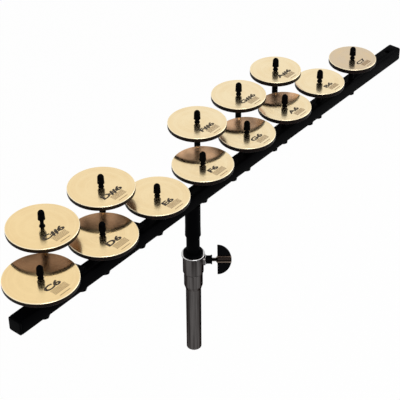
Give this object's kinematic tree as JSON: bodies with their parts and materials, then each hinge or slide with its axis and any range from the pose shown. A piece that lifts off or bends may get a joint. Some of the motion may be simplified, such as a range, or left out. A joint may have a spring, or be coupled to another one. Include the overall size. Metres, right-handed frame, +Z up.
{
  "type": "crotales",
  "caption": "Tuned bronze discs in a lower and a raised row on a square bar, each loose on a capped post, over a telescoping stand tube with a wing-screw clamp.",
  "frame": {"origin": "centre of the lower tube's foot, on the stand's axis", "axes": "+X along the bar towards the high notes, +Y away from the player, where the raised row of discs is, +Z up the stand"},
  "size_m": [0.8832, 0.1517, 0.381],
  "materials": {
    "bronze": "lathe-turned and polished",
    "cap_rubber": "moulded, satin black",
    "black_zinc": "black zinc plated, semi-gloss",
    "black_coat": "black powder coat, satin",
    "black_plastic": "moulded black",
    "screw_plastic": "moulded black, semi-gloss",
    "chrome": "polished chrome plate"
  },
  "bodies": {
    "stand": {"lower_tube": "chrome", "collar_ring": "chrome", "clamp_collar": "chrome", "rod_bushing": "black_plastic", "screw_boss": "screw_plastic"},
    "wing": {"wing_screw": "screw_plastic"},
    "rod": {"stand_rod": "black_coat"},
    "bar_frame": {"bar": "black_coat", "bar_receiver": "black_coat", "end_cap_low": "black_plastic", "end_cap_high": "black_plastic", "post_c": "black_zinc", "post_d": "black_zinc", "post_e": "black_zinc", "post_f": "black_zinc", "post_g": "black_zinc", "post_a": "black_zinc", "post_b": "black_zinc", "post_c_high": "black_zinc", "post_c_sharp": "black_zinc", "post_d_sharp": "black_zinc", "post_f_sharp": "black_zinc", "post_g_sharp": "black_zinc", "post_a_sharp": "black_zinc", "arm_c_sharp": "black_coat", "arm_d_sharp": "black_coat", "arm_f_sharp": "black_coat", "arm_g_sharp": "black_coat", "arm_a_sharp": "black_coat", "bolt_c_sharp": "black_zinc", "bolt_d_sharp": "black_zinc", "bolt_f_sharp": "black_zinc", "bolt_g_sharp": "black_zinc", "bolt_a_sharp": "black_zinc"},
    "disc_c_body": {"disc_c": "bronze"},
    "disc_d_body": {"disc_d": "bronze"},
    "disc_e_body": {"disc_e": "bronze"},
    "disc_f_body": {"disc_f": "bronze"},
    "disc_g_body": {"disc_g": "bronze"},
    "disc_a_body": {"disc_a": "bronze"},
    "disc_b_body": {"disc_b": "bronze"},
    "disc_c_high_body": {"disc_c_high": "bronze"},
    "disc_c_sharp_body": {"disc_c_sharp": "bronze"},
    "disc_d_sharp_body": {"disc_d_sharp": "bronze"},
    "disc_f_sharp_body": {"disc_f_sharp": "bronze"},
    "disc_g_sharp_body": {"disc_g_sharp": "bronze"},
    "disc_a_sharp_body": {"disc_a_sharp": "bronze"},
    "cap_c_body": {"cap_c": "cap_rubber"},
    "cap_d_body": {"cap_d": "cap_rubber"},
    "cap_e_body": {"cap_e": "cap_rubber"},
    "cap_f_body": {"cap_f": "cap_rubber"},
    "cap_g_body": {"cap_g": "cap_rubber"},
    "cap_a_body": {"cap_a": "cap_rubber"},
    "cap_b_body": {"cap_b": "cap_rubber"},
    "cap_c_high_body": {"cap_c_high": "cap_rubber"},
    "cap_c_sharp_body": {"cap_c_sharp": "cap_rubber"},
    "cap_d_sharp_body": {"cap_d_sharp": "cap_rubber"},
    "cap_f_sharp_body": {"cap_f_sharp": "cap_rubber"},
    "cap_g_sharp_body": {"cap_g_sharp": "cap_rubber"},
    "cap_a_sharp_body": {"cap_a_sharp": "cap_rubber"}
  },
  "joints": [
    {"name": "height_slide", "type": "slide", "parent": "stand", "child": "rod", "axis": [0, 0, 1], "range_m": [-0.028, 0.09]},
    {"name": "bar_turn", "type": "hinge", "parent": "rod", "child": "bar_frame", "pos_m": [0, 0, 0.2188], "axis": [0, 0, 1], "continuous": true},
    {"name": "wing_turn", "type": "hinge", "parent": "stand", "child": "wing", "pos_m": [0, 0, 0.1715], "axis": [0.6428, -0.766, 0], "range_deg": [0, 540]},
    {"name": "disc_c_spin", "type": "hinge", "parent": "bar_frame", "child": "disc_c_body", "pos_m": [-0.30023, 0, 0.3223], "axis": [0, 0, 1], "continuous": true},
    {"name": "disc_d_spin", "type": "hinge", "parent": "bar_frame", "child": "disc_d_body", "pos_m": [-0.18512, 0, 0.3223], "axis": [0, 0, 1], "continuous": true},
    {"name": "disc_e_spin", "type": "hinge", "parent": "bar_frame", "child": "disc_e_body", "pos_m": [-0.07527, 0, 0.3223], "axis": [0, 0, 1], "continuous": true},
    {"name": "disc_f_spin", "type": "hinge", "parent": "bar_frame", "child": "disc_f_body", "pos_m": [0.0234, 0, 0.3223], "axis": [0, 0, 1], "continuous": true},
    {"name": "disc_g_spin", "type": "hinge", "parent": "bar_frame", "child": "disc_g_body", "pos_m": [0.12546, 0, 0.3223], "axis": [0, 0, 1], "continuous": true},
    {"name": "disc_a_spin", "type": "hinge", "parent": "bar_frame", "child": "disc_a_body", "pos_m": [0.21859, 0, 0.3223], "axis": [0, 0, 1], "continuous": true},
    {"name": "disc_b_spin", "type": "hinge", "parent": "bar_frame", "child": "disc_b_body", "pos_m": [0.31018, 0, 0.3223], "axis": [0, 0, 1], "continuous": true},
    {"name": "disc_c_high_spin", "type": "hinge", "parent": "bar_frame", "child": "disc_c_high_body", "pos_m": [0.40073, 0, 0.3223], "axis": [0, 0, 1], "continuous": true},
    {"name": "disc_c_sharp_spin", "type": "hinge", "parent": "bar_frame", "child": "disc_c_sharp_body", "pos_m": [-0.24267, 0.0523, 0.3451], "axis": [0, 0, 1], "continuous": true},
    {"name": "disc_d_sharp_spin", "type": "hinge", "parent": "bar_frame", "child": "disc_d_sharp_body", "pos_m": [-0.1302, 0.0523, 0.3451], "axis": [0, 0, 1], "continuous": true},
    {"name": "disc_f_sharp_spin", "type": "hinge", "parent": "bar_frame", "child": "disc_f_sharp_body", "pos_m": [0.07443, 0.0523, 0.3451], "axis": [0, 0, 1], "continuous": true},
    {"name": "disc_g_sharp_spin", "type": "hinge", "parent": "bar_frame", "child": "disc_g_sharp_body", "pos_m": [0.17202, 0.0523, 0.3451], "axis": [0, 0, 1], "continuous": true},
    {"name": "disc_a_sharp_spin", "type": "hinge", "parent": "bar_frame", "child": "disc_a_sharp_body", "pos_m": [0.26438, 0.0523, 0.3451], "axis": [0, 0, 1], "continuous": true},
    {"name": "cap_c_pull", "type": "slide", "parent": "bar_frame", "child": "cap_c_body", "axis": [0, 0, 1], "range_m": [0, 0.0095]},
    {"name": "cap_d_pull", "type": "slide", "parent": "bar_frame", "child": "cap_d_body", "axis": [0, 0, 1], "range_m": [0, 0.0095]},
    {"name": "cap_e_pull", "type": "slide", "parent": "bar_frame", "child": "cap_e_body", "axis": [0, 0, 1], "range_m": [0, 0.0095]},
    {"name": "cap_f_pull", "type": "slide", "parent": "bar_frame", "child": "cap_f_body", "axis": [0, 0, 1], "range_m": [0, 0.0095]},
    {"name": "cap_g_pull", "type": "slide", "parent": "bar_frame", "child": "cap_g_body", "axis": [0, 0, 1], "range_m": [0, 0.0095]},
    {"name": "cap_a_pull", "type": "slide", "parent": "bar_frame", "child": "cap_a_body", "axis": [0, 0, 1], "range_m": [0, 0.0095]},
    {"name": "cap_b_pull", "type": "slide", "parent": "bar_frame", "child": "cap_b_body", "axis": [0, 0, 1], "range_m": [0, 0.0095]},
    {"name": "cap_c_high_pull", "type": "slide", "parent": "bar_frame", "child": "cap_c_high_body", "axis": [0, 0, 1], "range_m": [0, 0.0095]},
    {"name": "cap_c_sharp_pull", "type": "slide", "parent": "bar_frame", "child": "cap_c_sharp_body", "axis": [0, 0, 1], "range_m": [-0.0056, 0.005]},
    {"name": "cap_d_sharp_pull", "type": "slide", "parent": "bar_frame", "child": "cap_d_sharp_body", "axis": [0, 0, 1], "range_m": [0, 0.0095]},
    {"name": "cap_f_sharp_pull", "type": "slide", "parent": "bar_frame", "child": "cap_f_sharp_body", "axis": [0, 0, 1], "range_m": [0, 0.0095]},
    {"name": "cap_g_sharp_pull", "type": "slide", "parent": "bar_frame", "child": "cap_g_sharp_body", "axis": [0, 0, 1], "range_m": [0, 0.0095]},
    {"name": "cap_a_sharp_pull", "type": "slide", "parent": "bar_frame", "child": "cap_a_sharp_body", "axis": [0, 0, 1], "range_m": [0, 0.0095]}
  ]
}
